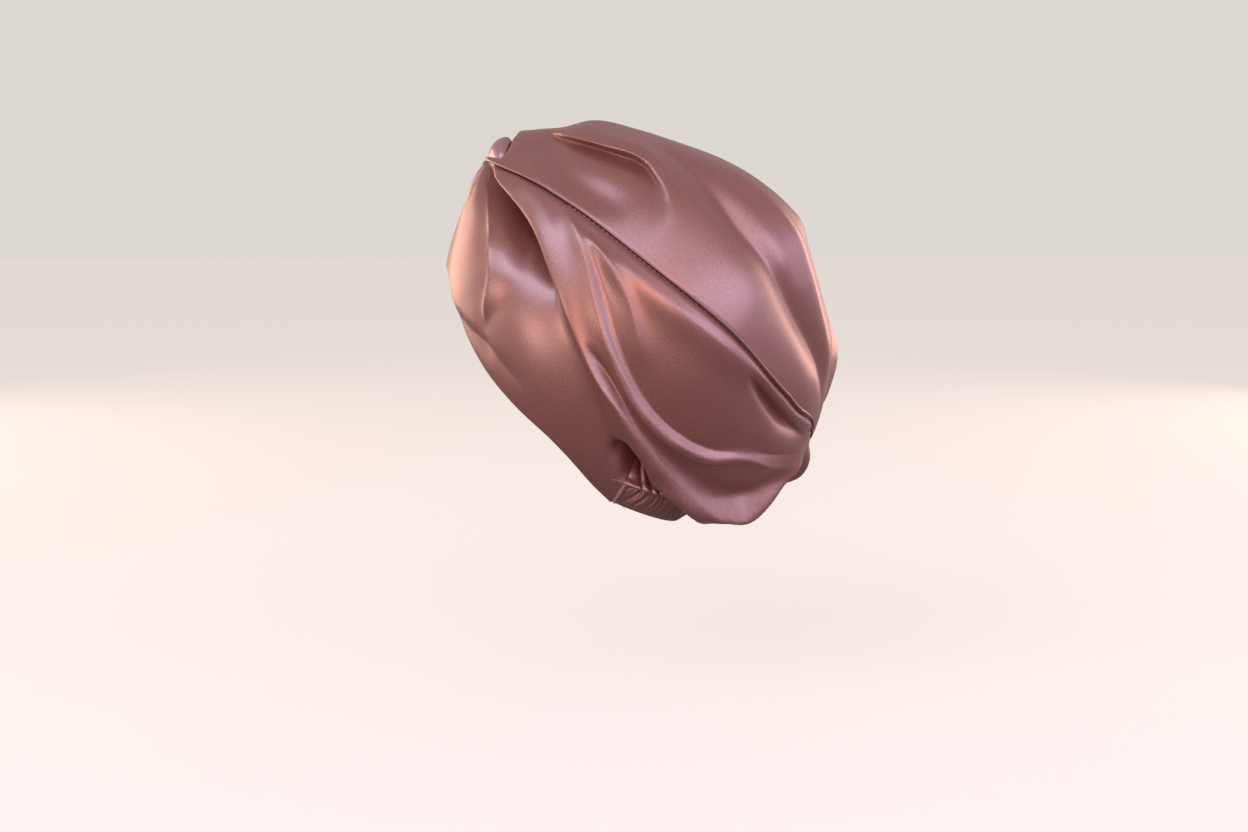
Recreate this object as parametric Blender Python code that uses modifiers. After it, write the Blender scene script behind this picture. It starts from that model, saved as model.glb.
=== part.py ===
"""Satin sleep bonnet with a twisted knot at the top front, worn shape.

Every sewn piece is an object of its own: the crown panel, two side panels, the
two loops of the twist and the gathered elastic casing round the nape.
Metres, +Z up, the face toward -Y and the wearer's left toward +X. The origin is
the underside of the crown, where the top of the head bears.

All cloth lies on one rounded form, measured from its centre. "Along" is the
angle from the knot (0) to the pinch at the back (180). "Round" is the angle
about that line, from the middle of the crown (0) over the wearer's left ear
(90) to the middle of the open underside (180); the right side is negative.
Tables are in degrees and millimetres.
"""
import math
from functools import partial

import bpy
import numpy as np

MM = 0.001

# Driving dimensions (millimetres and degrees).
CENTRE_BACK = 30.9       # centre of the form, behind the top of the head
CENTRE_DROP = 95.9       # and below it
LINE_TILT = 40.8         # slope of the line from the pinch up to the knot
WALL = 1.0               # satin with its seam allowance
CLEARANCE = 0.7          # between one cloth and the next
SEAM_LAP = 3.0           # the crown laps over the side panels by this much
LAP_TURN = 24.0          # and by no more than this turn, near the knot and the pinch
SEAM_RISE = 4.0          # length in which a side panel comes up beside the seam
SEAM_ROOM = 1.0          # further room under the crown's edge
FRONT_LAP = 5.0          # the front seam swings over to the right by this much
FRONT_LAP_EASE = 8.0     # and swings back within this many degrees of its ends
PANEL_START = 3.0        # side panels begin here, under the twist
CROWN_START = 9.5        # the crown begins behind the loop
PANEL_END = 178.6        # all panels end here, at the pinch
FRONT_CENTRE = 31.0      # along, where the face edge crosses the middle
EAR_SEAM = 112.6         # along, where the face edge meets the casing
NAPE_CENTRE = 144.4      # along, where the back seam meets the casing

# Rounded form: distance of the cloth from the centre.
FORM_ROUND = (0, 45, 90, 120, 150, 180)
FORM = (
    # along, crown, shoulder, side, cheek, hem, under
    (0, 118, 118, 118, 118, 118, 118),
    (9, 118, 117, 116, 116, 116, 116),
    (14, 112, 111, 112, 113, 115, 113),
    (20, 105.5, 105, 108, 110, 113, 113),
    (31, 102, 101, 104, 107, 112, 113),
    (45, 92, 96, 100, 105, 111, 112),
    (60, 86, 92, 97, 103, 110, 112),
    (75, 85, 91, 96, 102, 111, 114),
    (90, 87, 91, 95, 101, 113, 115),
    (104, 90.5, 92, 94, 101, 116, 118),
    (110, 92, 92, 94, 101, 117, 119),
    (120, 90, 91, 94, 102, 117, 119),
    (135, 92.5, 92, 96, 106, 119, 116),
    (144, 97, 95, 99, 110, 122, 112),
    (152, 102, 99, 103, 113, 124, 117),
    (165, 108, 107, 110, 116, 121, 119),
    (180, 118, 118, 118, 118, 118, 118),
)

# The seam between the crown and a side panel, and the lower edge of a panel.
SEAM = (
    # along, round
    (0, 30), (5, 40), (9.5, 76), (14, 88), (23, 84), (32, 82), (44, 81), (80, 81),
    (110, 79.5), (146, 79), (158, 77), (170, 66), (180, 60),
)
FACE_EDGE = (
    # along, round
    (31, 180), (31.4, 172), (32.6, 165), (35.5, 158.5), (42, 154), (54, 149.5), (65, 146.5),
    (78, 143.5), (91, 142), (100, 143.5), (108, 147), (112.6, 149.5),
)
NAPE_EDGE = (
    # along, round
    (112.6, 149.5), (114.2, 143.5), (118, 141.5), (124, 142), (131, 145.5), (137, 153),
    (141, 162), (144.4, 180),
)
# A smoother line beside that edge: the cloth's threads follow it, and only the
# last of them turn aside to the edge itself.
EDGE_FLOW = (
    # along, round
    (0, 180), (20, 180), (31, 174), (36, 165), (45, 157), (60, 150), (78, 145.5), (91, 143.5),
    (104, 144), (113, 145.5), (124, 146), (133, 152), (140, 163), (147, 175), (156, 180),
    (180, 180),
)
EDGE_HUG = 6             # power of the share with which threads turn aside

# Folds. A row is a place on the fold's line: where it is, how far it lifts the
# cloth (below zero it is a valley), and how far its flanks spread toward the
# crown (above) and toward the lower edge (below). A low sharpness gives a crest.
FOLDS = (
    # name, sides, sharpness, rows of along, round, lift, above, below
    ("loop_seat", (1, -1), 4.0, (
        (1, 60, -3, 9, 9), (5, 62, -3.4, 9, 9), (9, 74, -3.4, 9, 9), (12, 82, -2, 8, 7),
        (15, 88, 0, 6, 5))),
    ("front_ridge", (1, -1), 1.2, (
        (5, 104, 0, 5, 5), (12, 112, 3, 7, 6), (22, 118, 6, 10, 9), (35, 123, 7, 12, 12),
        (44, 129, 4.5, 11, 9), (50, 138, 2, 8, 6), (55, 145, 0, 6, 5))),
    ("front_hollow", (1, -1), 1.5, (
        (40, 123, 0, 6, 4), (47, 128.5, -4, 9, 4), (54, 136, -4.5, 9, 5), (60, 141, -2, 8, 5),
        (66, 144, 0, 8, 5))),
    ("pleat_valley", (1, -1), 1.4, (
        (5, 99, 0, 4, 5), (12, 101, -6, 4, 7), (22, 101, -10, 4, 12), (36, 103, -12, 5, 16),
        (48, 105, -9, 5, 16), (58, 107.5, -6, 5, 13), (70, 112, -3.5, 5, 11),
        (84, 118, -2.5, 5, 9), (98, 127, -2.5, 5, 8), (111, 137, -2, 4, 5), (116, 140, 0, 4, 4))),
    ("pleat_lip", (1, -1), 1.2, (
        (6, 93, 0, 4, 2), (16, 95, 3, 9, 3), (28, 96.5, 5, 13, 3), (42, 99.5, 5, 13, 4),
        (56, 104, 4, 10, 4), (72, 110, 4, 7, 5), (86, 116, 5, 6, 7), (100, 122, 6.5, 6, 9),
        (114, 128, 7, 7, 11), (126, 134, 8, 8, 12), (138, 141, 9, 9, 12), (148, 149, 9, 12, 12),
        (158, 146, 6, 10, 12), (168, 136, 3, 8, 8), (176, 125, 0, 6, 6))),
    ("puff_valley", (1, -1), 1.6, (
        (78, 110, 0, 4, 4), (90, 115.5, -5, 4, 4), (104, 120.5, -8, 5, 5), (118, 126, -10, 6, 6),
        (130, 131, -14, 8, 8), (142, 133, -15, 10, 8), (154, 131, -11, 9, 8), (165, 130, -4, 6, 6),
        (172, 128, 0, 5, 5))),
    ("puff_ridge", (1, -1), 1.2, (
        (48, 86, 0, 6, 7), (60, 91, 2.5, 6, 9), (72, 100, 5, 6, 10), (84, 108, 6.5, 6, 10),
        (94, 114.5, 9, 5, 7), (106, 119.5, 9.5, 6, 7), (120, 123, 9, 7, 7), (132, 124, 8, 9, 8),
        (144, 118, 7, 10, 9), (154, 121, 5, 8, 7), (164, 126, 3, 6, 5), (174, 130, 0, 5, 4))),
    ("bowl", (1, -1), 2.0, (
        (52, 86, 0, 6, 7), (66, 93, -5, 8, 7), (80, 99, -9, 12, 8), (92, 105, -12, 15, 8),
        (104, 109, -13, 17, 9), (118, 110, -12, 17, 11), (132, 108, -11, 16, 13),
        (146, 106, -9, 14, 12), (160, 108, -5, 10, 10), (172, 110, 0, 8, 8))),
    ("seam_shoulder", (1, -1), 1.8, (
        (44, 86, 0, 8, 8), (56, 88, 2, 6, 9), (72, 88, 3.5, 6, 9), (90, 87, 3.5, 6, 10),
        (108, 86, 3, 6, 10), (126, 85, 2, 5, 9), (142, 84, 0, 5, 7))),
    ("pinch_crease", (1, -1), 1.5, (
        (122, 87, 0, 3, 4), (134, 88.5, -3, 3.5, 4), (147, 91, -4.5, 4, 5), (160, 94, -3, 4, 4),
        (170, 95, 0, 3, 3))),
    ("face_crease", (1, -1), 1.6, (
        (42, 156, 0, 4, 4), (50, 150, -2.5, 4, 4), (60, 141.5, -2.5, 4.5, 5),
        (70, 138, -1.2, 4, 5), (78, 136, 0, 4, 5))),
    ("ear_tuck", (1, -1), 1.8, (
        (105, 134, 0, 5, 5), (111, 133, -6, 6, 4), (117, 134, -8, 6, 4), (121, 136, -6, 5, 4),
        (126, 139, 0, 4, 4))),
    ("nape_lip", (1, -1), 1.8, (
        (114, 131, 0, 5, 5), (120, 136, 3, 4, 3), (130, 140.5, 4, 5, 3),
        (138, 149, 4, 6, 4), (144, 160, 3, 8, 6), (150, 168, 0, 8, 8))),
    ("flap_pocket", (1, -1), 1.3, (
        (16, 26, 0, 5, 9), (24, 41, -6, 4, 12), (34, 49, -12, 4, 14), (44, 52, -13, 4, 14),
        (54, 55, -9, 4, 11), (62, 59, -4, 4, 8), (72, 66, 0, 4, 6))),
    ("flap_lip", (1, -1), 1.4, (
        (14, 10, 0, 8, 4), (24, 35, 1.5, 10, 3), (34, 45, 2, 12, 3), (46, 47, 3, 12, 3),
        (56, 49.5, 3, 8, 4), (64, 56, 3, 7, 6), (72, 64, 1.5, 7, 6), (78, 68, 0, 6, 6))),
    ("crown_swell", (1, -1), 2.0, (
        (8, 45, 0, 8, 8), (14, 58, 2, 9, 8), (24, 72, 3, 9, 6), (34, 78, 1.5, 8, 5),
        (46, 80, 0, 8, 5))),
    ("crown_hollow", (1, -1), 2.0, (
        (12, 48, 0, 7, 7), (20, 56, -1.5, 7, 8), (36, 70, -2.5, 8, 8), (52, 72, -2.5, 9, 8),
        (64, 72, 0, 9, 8))),
    ("back_valley", (1, -1), 1.6, (
        (56, 38, 0, 7, 7), (70, 43, -3, 8, 8), (84, 45, -6.5, 9, 9), (98, 51, -8, 9, 10),
        (114, 57, -8, 9, 9), (130, 56.5, -8, 9, 9), (146, 52, -6, 8, 8), (158, 43, -2.5, 6, 6),
        (168, 40, 0, 5, 5))),
    ("back_ridge", (1, -1), 1.8, (
        (70, 28, 0, 10, 8), (90, 33, 2, 11, 8), (106, 40, 3, 10, 8), (126, 41, 3, 10, 8),
        (146, 36, 2.5, 9, 8), (162, 30, 0, 8, 6))),
    ("right_back_ridge", (-1,), 1.4, (
        (100, 16, 0, 9, 9), (117, 21, 6, 9, 8), (130, 22, 4, 8, 8), (144, 22, 8, 8, 7),
        (156, 24, 11, 7, 8), (167, 32, 7, 6, 6), (174, 40, 0, 5, 5))),
    ("right_pinch_puff", (-1,), 1.8, (
        (156, 150, 0, 10, 10), (165, 152, 7, 9, 9), (172, 150, 9, 8, 8), (178, 150, 0, 5, 5))),
)

# Nape casing: half breadth, reach behind the ears, and heights of its edges.
CASING_TOP = {"breadth": 63.0, "ear_back": 12.0, "depth": 45.0, "ear_drop": 185.6, "nape_drop": 204.6}
CASING_LOW = {"breadth": 52.5, "ear_back": 6.0, "depth": 42.0, "ear_drop": 198.1, "nape_drop": 216.6}
CASING_LAP = 0.25        # share of the casing's height that the panels cover
CASING_REACH = 90.0      # turn from the middle of the nape to the casing's ends
CASING_ROOM = 1.6        # from the casing's outside to the outside of a panel over it
CASING_FADE = 0.5        # share of the casing's height, above it, where that room fades
JOIN_SHARE = 0.12        # share of a panel that bends in to meet the casing
RUFFLE_COUNT = 32
RUFFLE_RISE = 1.1
RUFFLE_SHARES = (0.0, CASING_LAP, 0.6, 1.0)      # shares of its height, from the top
RUFFLE_DEPTHS = (0.0, 0.0, 1.0, 0.6)             # and the ruffles' share of their rise there

# The loops of the twist.
LOOP_HALF = 17.0         # half the loop's length, from side to side
LOOP_WIDE = 15.0         # its width, from the knot to the crown
LOOP_THICK = 8.0
LOOP_PLACE = (-52.3, -12.0)      # back and up, of its middle
LOOP_ARCH = 7.0          # how far its ends hang below its middle
UNDER_ALONG = (2.0, 15.0)        # the under loop runs down the front to here
UNDER_ROUND = -165.0
UNDER_WIDE = 6.0
UNDER_RISE = 1.2
UNDER_THICK = 1.6
LOOP_TIP = 0.05          # how blunt the loops' ends are
LOOP_RINGS, LOOP_SIDES = 13, 12
UNDER_RINGS, UNDER_SIDES = 9, 10

# Grid of a panel: steps from corner to corner of its outline, and across it.
FRONT_ARCH = (32.6, 35.5)        # further stations, where the face edge bends most
ROWS_KNOT, ROWS_FACE, ROWS_NAPE, ROWS_BACK = 6, 15, 8, 8
EAR_STEP = 1.6           # the least step between stations
SIDE_COLUMNS = 17
CROWN_COLUMNS = 12       # on each side of the middle
FACET_SOFTEN = 3.0       # widens the narrowest flanks, so that facets can follow them

SATIN = (0.45, 0.20, 0.20, 1.0)
LOOP_SATIN = (0.50, 0.30, 0.36, 1.0)
CASING_SATIN = (0.30, 0.13, 0.12, 1.0)


def clear_scene():
    """Take the start-up objects away."""
    for obj in list(bpy.data.objects):
        bpy.data.objects.remove(obj, do_unlink=True)


def smooth(x, stations, values, flat_ends=False):
    """Cubic curve through the stations; linear in the values, which may be rows."""
    stations = np.asarray(stations, float)
    values = np.asarray(values, float)
    slopes = np.gradient(values, stations, axis=0)
    if flat_ends:
        slopes[0] = 0
        slopes[-1] = 0
    x = np.clip(np.asarray(x, float), stations[0], stations[-1])
    i = np.clip(np.searchsorted(stations, x, side="right") - 1, 0, len(stations) - 2)
    step = stations[i + 1] - stations[i]
    t = (x - stations[i]) / step
    if values.ndim > 1:
        t = t[..., None]
        step = step[..., None]
    start = (1 + 2 * t) * (1 - t) ** 2 * values[i] + t * (1 - t) ** 2 * step * slopes[i]
    end = t * t * (3 - 2 * t) * values[i + 1] + t * t * (t - 1) * step * slopes[i + 1]
    return start + end


def form_radius(along, around):
    """Distance from the centre: the form's table, smooth both ways."""
    table = np.array(FORM, float)
    sections = smooth(along, table[:, 0], table[:, 1:])
    shares = smooth(np.abs(around), FORM_ROUND, np.eye(len(FORM_ROUND)), flat_ends=True)
    return (sections * shares).sum(-1)


def fold_height(along, around):
    """Sum of the folds: each falls off on either flank with distance from its line."""
    reach = form_radius(along, around)
    girth = reach * np.sin(np.radians(along))
    height = np.zeros_like(reach)
    for _, sides, sharpness, rows in FOLDS:
        table = np.array(rows, float)
        line, lift, above, below = (smooth(along, table[:, 0], table[:, k]) for k in (1, 2, 3, 4))
        turn = smooth(along + 0.5, table[:, 0], table[:, 1]) - smooth(along - 0.5, table[:, 0], table[:, 1])
        slant = np.cos(np.arctan(turn * girth / np.maximum(reach, 1)))
        lift = np.where((along > table[0, 0]) & (along < table[-1, 0]), lift, 0)
        for side in sides:
            away = side * around - line
            away = (away + 180) % 360 - 180
            distance = np.radians(away) * girth * slant
            spread = np.hypot(np.where(distance < 0, above, below), FACET_SOFTEN)
            height += lift * np.exp(-np.abs(distance / spread) ** sharpness)
    return height


def place(along, around, outward):
    """Point of the form, lifted outward from the centre by some millimetres."""
    tilt = math.radians(LINE_TILT)
    to_knot = np.array((0.0, -math.cos(tilt), math.sin(tilt)))
    to_crown = np.array((0.0, math.sin(tilt), math.cos(tilt)))
    to_left = np.array((1.0, 0.0, 0.0))
    a = np.radians(along)[..., None]
    b = np.radians(around)[..., None]
    direction = np.cos(a) * to_knot + np.sin(a) * (np.cos(b) * to_crown + np.sin(b) * to_left)
    reach = (form_radius(along, around) + outward)[..., None]
    centre = np.array((0.0, CENTRE_BACK, -CENTRE_DROP))
    return centre + reach * direction


def casing_edge(sizes, turn):
    """Edge of the nape casing: half an ellipse in plan, lower at the nape than at the ears."""
    t = np.radians(turn)
    x = sizes["breadth"] * np.sin(t)
    y = sizes["ear_back"] + sizes["depth"] * np.cos(t)
    rise = (sizes["nape_drop"] - sizes["ear_drop"]) * (1 - np.cos(t))
    return np.stack((x, y, rise - sizes["nape_drop"]), -1)


def casing_point(turn, share):
    """Point of the casing, from its top edge (0) to its lower edge (1)."""
    share = np.asarray(share, float)[..., None]
    return casing_edge(CASING_TOP, turn) * (1 - share) + casing_edge(CASING_LOW, turn) * share


def panel_rows():
    """Stations along a side panel, with one on each corner of its outline."""
    parts = (
        np.linspace(PANEL_START, FRONT_CENTRE, ROWS_KNOT + 1)[:-1],
        (FRONT_CENTRE,) + FRONT_ARCH[:1],
        np.linspace(FRONT_ARCH[1], EAR_SEAM, ROWS_FACE + 1),
        np.linspace(EAR_SEAM + EAR_STEP, NAPE_CENTRE, ROWS_NAPE + 1)[:-1],
        np.linspace(NAPE_CENTRE, PANEL_END, ROWS_BACK + 1),
    )
    return np.concatenate(parts)


def lower_edge(along):
    """Round angle of a side panel's lower edge: the middle, but for the opening."""
    table = np.array(FACE_EDGE + NAPE_EDGE[1:], float)
    edge = np.interp(along, table[:, 0], table[:, 1])
    return np.where((along < FRONT_CENTRE) | (along > NAPE_CENTRE), 180.0, edge)


def seam_line(along):
    """Round angle of the seam between the crown and a side panel."""
    table = np.array(SEAM, float)
    return smooth(along, table[:, 0], table[:, 1])


def clear_of_casing(points):
    """The same points, spread level from the neck where they would pass inside the casing."""
    share = np.zeros(points.shape[:-1])
    for _ in range(2):
        breadth, back, depth = (
            CASING_TOP[size] * (1 - share) + CASING_LOW[size] * share
            for size in ("breadth", "ear_back", "depth"))
        turn = np.arctan2(np.abs(points[..., 0]) / breadth, (points[..., 1] - back) / depth)
        top, low = (
            edge["ear_drop"] + (edge["nape_drop"] - edge["ear_drop"]) * np.cos(turn)
            for edge in (CASING_TOP, CASING_LOW))
        height = (-points[..., 2] - top) / (low - top)
        share = np.clip(height, 0, 1)
    reach = np.hypot(points[..., 0] / breadth, (points[..., 1] - back) / depth)
    room = 1 + CASING_ROOM / depth
    spread = np.maximum(room / reach, 1) - 1
    spread = 1 + spread * np.clip((height + CASING_FADE) / CASING_FADE, 0, 1)
    axis = np.stack((np.zeros_like(back), back, points[..., 2]), -1)
    return axis + (points - axis) * spread[..., None]


def side_surface(rows, across, side):
    """Outer face of a side panel: under the crown's edge (-1), from its seam (0) to its edge (1)."""
    along, share = np.meshgrid(rows, across, indexing="ij")
    seam = seam_line(along)
    girth = form_radius(along, seam) * np.sin(np.radians(along))
    lap = np.minimum(np.degrees(SEAM_LAP / girth), LAP_TURN)
    shift = FRONT_LAP * side * np.clip((FRONT_CENTRE - along) / FRONT_LAP_EASE, 0, 1)
    shift = shift * np.clip((along - PANEL_START) / FRONT_LAP_EASE, 0, 1)
    closed = (along <= FRONT_CENTRE) | (along >= NAPE_CENTRE)
    edge = lower_edge(along) + np.degrees((shift - CLEARANCE / 2 * closed) / girth)
    flow_table = np.array(EDGE_FLOW, float)
    flow = smooth(along, flow_table[:, 0], flow_table[:, 1])
    down = np.maximum(share, 0)
    around = np.where(share < 0, seam - lap, seam + down * (flow - seam) + down ** EDGE_HUG * (edge - flow))
    tuck = WALL + CLEARANCE + SEAM_ROOM
    from_seam = np.radians(around - seam) * girth
    sunk = tuck * (1 - np.clip((from_seam - CLEARANCE) / SEAM_RISE, 0, 1))
    outward = fold_height(along, side * around) - sunk
    points = place(along, side * around, outward)
    # Round the nape the edge turns in and meets the outside of the casing.
    at_nape = (along > EAR_SEAM) & (along <= NAPE_CENTRE)
    turn = CASING_REACH * (1 - (along - EAR_SEAM) / (NAPE_CENTRE - EAR_SEAM))
    join = casing_point(turn, CASING_LAP) + outward_from_neck(turn) * (WALL + CLEARANCE)
    join[..., 0] = side * np.maximum(join[..., 0], CLEARANCE / 2)
    weight = np.clip((share - (1 - JOIN_SHARE)) / JOIN_SHARE, 0, 1) ** 2
    weight = np.where(at_nape, weight, 0)[..., None]
    return clear_of_casing(points * (1 - weight) + join * weight)


def outward_from_neck(turn):
    """Level direction away from the neck, at a turn of the casing."""
    t = np.radians(turn)
    return np.stack((np.sin(t), np.cos(t), np.zeros_like(t)), -1)


def crown_surface(rows, across):
    """Outer face of the crown panel, from the right seam (-1) to the left one (1)."""
    along, share = np.meshgrid(rows, across, indexing="ij")
    around = share * seam_line(along)
    return place(along, around, fold_height(along, around))


def casing_surface(turns, shares):
    """Outer face of the casing, from its top (0) to its foot (1), ruffled below the panels' edges."""
    turn, share = np.meshgrid(turns, shares, indexing="ij")
    ruffle = np.cos(np.radians(turn) * math.pi * RUFFLE_COUNT / math.radians(CASING_REACH))
    depth = RUFFLE_RISE * np.interp(share, RUFFLE_SHARES, RUFFLE_DEPTHS)
    points = casing_point(turn, share)
    return points + outward_from_neck(turn) * (ruffle * depth - RUFFLE_RISE)[..., None]


def rolled_loop(path, wide, thick, sides):
    """Rolled cloth: an ellipse carried along a path, narrowing to both ends."""
    path = np.asarray(path, float)
    tangent = np.gradient(path, axis=0)
    tangent /= np.linalg.norm(tangent, axis=1, keepdims=True)
    centre = np.array((0.0, CENTRE_BACK, -CENTRE_DROP))
    out = path - centre
    out /= np.linalg.norm(out, axis=1, keepdims=True)
    out -= tangent * (out * tangent).sum(1, keepdims=True)
    out /= np.linalg.norm(out, axis=1, keepdims=True)
    across = np.cross(tangent, out)
    turns = np.linspace(0, 2 * math.pi, sides, endpoint=False)
    ring = (np.cos(turns)[None, :, None] * across[:, None] * wide[:, None, None]
            + np.sin(turns)[None, :, None] * out[:, None] * thick[:, None, None])
    return path[:, None] + ring


def make_material(name, colour, roughness):
    """Satin: one colour with a soft sheen."""
    material = bpy.data.materials.new(name)
    material.use_nodes = True
    shader = material.node_tree.nodes["Principled BSDF"]
    shader.inputs["Base Color"].default_value = colour
    shader.inputs["Roughness"].default_value = roughness
    shader.inputs["Metallic"].default_value = 0.0
    shader.inputs["Sheen Weight"].default_value = 0.4
    return material


def add_object(name, vertices, faces, material, collection):
    """New mesh object from points in millimetres."""
    mesh = bpy.data.meshes.new(name)
    mesh.from_pydata([tuple(v) for v in np.asarray(vertices) * MM], [], faces)
    mesh.update()
    mesh.materials.append(material)
    mesh.shade_smooth()
    obj = bpy.data.objects.new(name, mesh)
    collection.objects.link(obj)
    return obj


def grid_faces(rows, columns, flip, closed=False):
    """Quads of a grid; closed joins the last column to the first."""
    faces = []
    for i in range(rows - 1):
        for j in range(columns if closed else columns - 1):
            k = (j + 1) % columns
            quad = (i * columns + j, i * columns + k, (i + 1) * columns + k, (i + 1) * columns + j)
            faces.append(quad[::-1] if flip else quad)
    return faces


def add_cloth(name, surface, rows, across, flip, material, collection):
    """Open sheet on a grid, thickened inward by Solidify.

    Each quad is cut along the diagonal that lies closer to the cloth's true middle.
    """
    points = surface(rows, across)
    middle = surface((rows[1:] + rows[:-1]) / 2, (across[1:] + across[:-1]) / 2)
    first = np.linalg.norm((points[:-1, :-1] + points[1:, 1:]) / 2 - middle, axis=-1)
    second = np.linalg.norm((points[:-1, 1:] + points[1:, :-1]) / 2 - middle, axis=-1)
    other_way = (second < first) != flip
    faces = []
    for quad, turned in zip(grid_faces(len(rows), len(across), flip), other_way.ravel()):
        a, b, c, d = quad
        faces.extend(((b, c, d), (b, d, a)) if turned else ((a, b, c), (a, c, d)))
    obj = add_object(name, points.reshape(-1, 3), faces, material, collection)
    wall = obj.modifiers.new("wall", "SOLIDIFY")
    wall.thickness = WALL * MM
    wall.offset = -1.0
    wall.use_even_offset = False
    return obj


def add_roll(name, rings, material, collection):
    """Closed roll of cloth from rings, with a face over each end."""
    rows, columns = rings.shape[:2]
    faces = grid_faces(rows, columns, True, closed=True)
    faces.append(tuple(range(columns)))
    faces.append(tuple(reversed(range((rows - 1) * columns, rows * columns))))
    return add_object(name, rings.reshape(-1, 3), faces, material, collection)


def build():
    """Make every piece in a collection named for the bonnet."""
    clear_scene()
    collection = bpy.data.collections.new("sleep_bonnet")
    bpy.context.scene.collection.children.link(collection)
    satin = make_material("satin", SATIN, roughness=0.42)
    loop_satin = make_material("loop_satin", LOOP_SATIN, roughness=0.38)
    casing_satin = make_material("casing_satin", CASING_SATIN, roughness=0.6)

    rows = panel_rows()
    crown_rows = np.concatenate(([CROWN_START], rows[rows > CROWN_START + EAR_STEP]))
    half = np.linspace(0, 1, CROWN_COLUMNS + 1)
    across = np.concatenate((-half[:0:-1], half))
    add_cloth("crown_panel", crown_surface, crown_rows, across, False, satin, collection)

    across = np.concatenate(([-1.0], np.linspace(0, 1, SIDE_COLUMNS + 1)))
    for name, side in (("side_panel_left", 1), ("side_panel_right", -1)):
        surface = partial(side_surface, side=side)
        add_cloth(name, surface, rows, across, side < 0, satin, collection)

    turns = np.linspace(-CASING_REACH, CASING_REACH, 2 * RUFFLE_COUNT + 1)
    add_cloth("nape_elastic_casing", casing_surface, turns, np.array(RUFFLE_SHARES), True,
              casing_satin, collection)

    t = np.linspace(-1, 1, LOOP_RINGS)
    taper = np.sqrt(np.clip(1 + LOOP_TIP - t * t, 0, 1))
    path = np.stack((LOOP_HALF * t, LOOP_PLACE[0] + 0 * t, LOOP_PLACE[1] - LOOP_ARCH * t * t), -1)
    rings = rolled_loop(path, LOOP_WIDE / 2 * taper, LOOP_THICK / 2 * taper, LOOP_SIDES)
    add_roll("twist_loop", rings, loop_satin, collection)

    t = np.linspace(-1, 1, UNDER_RINGS)
    taper = np.sqrt(np.clip(1 + LOOP_TIP - t * t, 0, 1))
    along = np.linspace(*UNDER_ALONG, UNDER_RINGS)
    path = place(along, np.full_like(along, UNDER_ROUND), np.full_like(along, UNDER_RISE))
    rings = rolled_loop(path, UNDER_WIDE / 2 * taper, UNDER_THICK / 2 * taper, UNDER_SIDES)
    add_roll("twist_loop_under", rings, loop_satin, collection)


build()
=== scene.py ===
import math

import bpy
import numpy as np
from mathutils import Matrix, Vector


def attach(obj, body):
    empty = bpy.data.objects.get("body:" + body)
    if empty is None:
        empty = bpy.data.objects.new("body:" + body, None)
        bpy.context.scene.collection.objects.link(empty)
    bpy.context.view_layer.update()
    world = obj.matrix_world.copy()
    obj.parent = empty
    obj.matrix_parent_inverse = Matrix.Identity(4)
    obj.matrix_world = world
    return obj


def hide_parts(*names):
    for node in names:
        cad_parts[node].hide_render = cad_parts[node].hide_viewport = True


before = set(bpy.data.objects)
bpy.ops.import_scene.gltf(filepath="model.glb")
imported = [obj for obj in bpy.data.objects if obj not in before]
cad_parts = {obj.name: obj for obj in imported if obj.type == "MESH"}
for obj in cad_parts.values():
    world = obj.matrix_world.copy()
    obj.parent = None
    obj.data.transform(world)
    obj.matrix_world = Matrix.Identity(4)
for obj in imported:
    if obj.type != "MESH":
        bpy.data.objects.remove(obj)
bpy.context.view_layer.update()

# Crown panel. One piece of dusty-rose satin, gathered from the knot at the top of the forehead
# to the pinch at the back, with a slack flap on each half. Its long edges are turned under and
# lap over the side panels.
CENTRE = (0.0, 30.9, -95.9)
LINE_TILT = 40.8
# All the cloth lies on one rounded form round that centre. "Along" is the angle from the knot
# (0) to the pinch (180). "Around" goes from the middle of the crown (0) over the wearer's left
# ear (90) to the open underside (180), and is negative on the right. Tables are in degrees and
# millimetres.
FORM_ROUND = (0, 45, 90, 120, 150, 180)
FORM = (
    # along, crown, shoulder, side, cheek, hem, under
    (0, 118, 118, 118, 118, 118, 118),
    (9, 118, 117, 116, 116, 116, 116),
    (14, 112, 111, 112, 113, 115, 113),
    (20, 105.5, 105, 108, 110, 113, 113),
    (31, 102, 101, 104, 107, 112, 113),
    (45, 92, 96, 100, 105, 111, 112),
    (60, 86, 92, 97, 103, 110, 112),
    (75, 85, 91, 96, 102, 111, 114),
    (90, 87, 91, 95, 101, 113, 115),
    (104, 90.5, 92, 94, 101, 116, 118),
    (110, 92, 92, 94, 101, 117, 119),
    (120, 90, 91, 94, 102, 117, 119),
    (135, 92.5, 92, 96, 106, 119, 116),
    (144, 97, 95, 99, 110, 122, 112),
    (152, 102, 99, 103, 113, 124, 117),
    (165, 108, 107, 110, 116, 121, 119),
    (180, 118, 118, 118, 118, 118, 118),
)
SEAM = (
    # along, around, of the seam between the crown and a side panel
    (0, 80), (5, 88), (9, 91), (14, 88), (23, 84), (32, 82), (44, 81), (80, 81),
    (110, 79.5), (146, 79), (158, 77), (170, 66), (180, 60),
)
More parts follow.
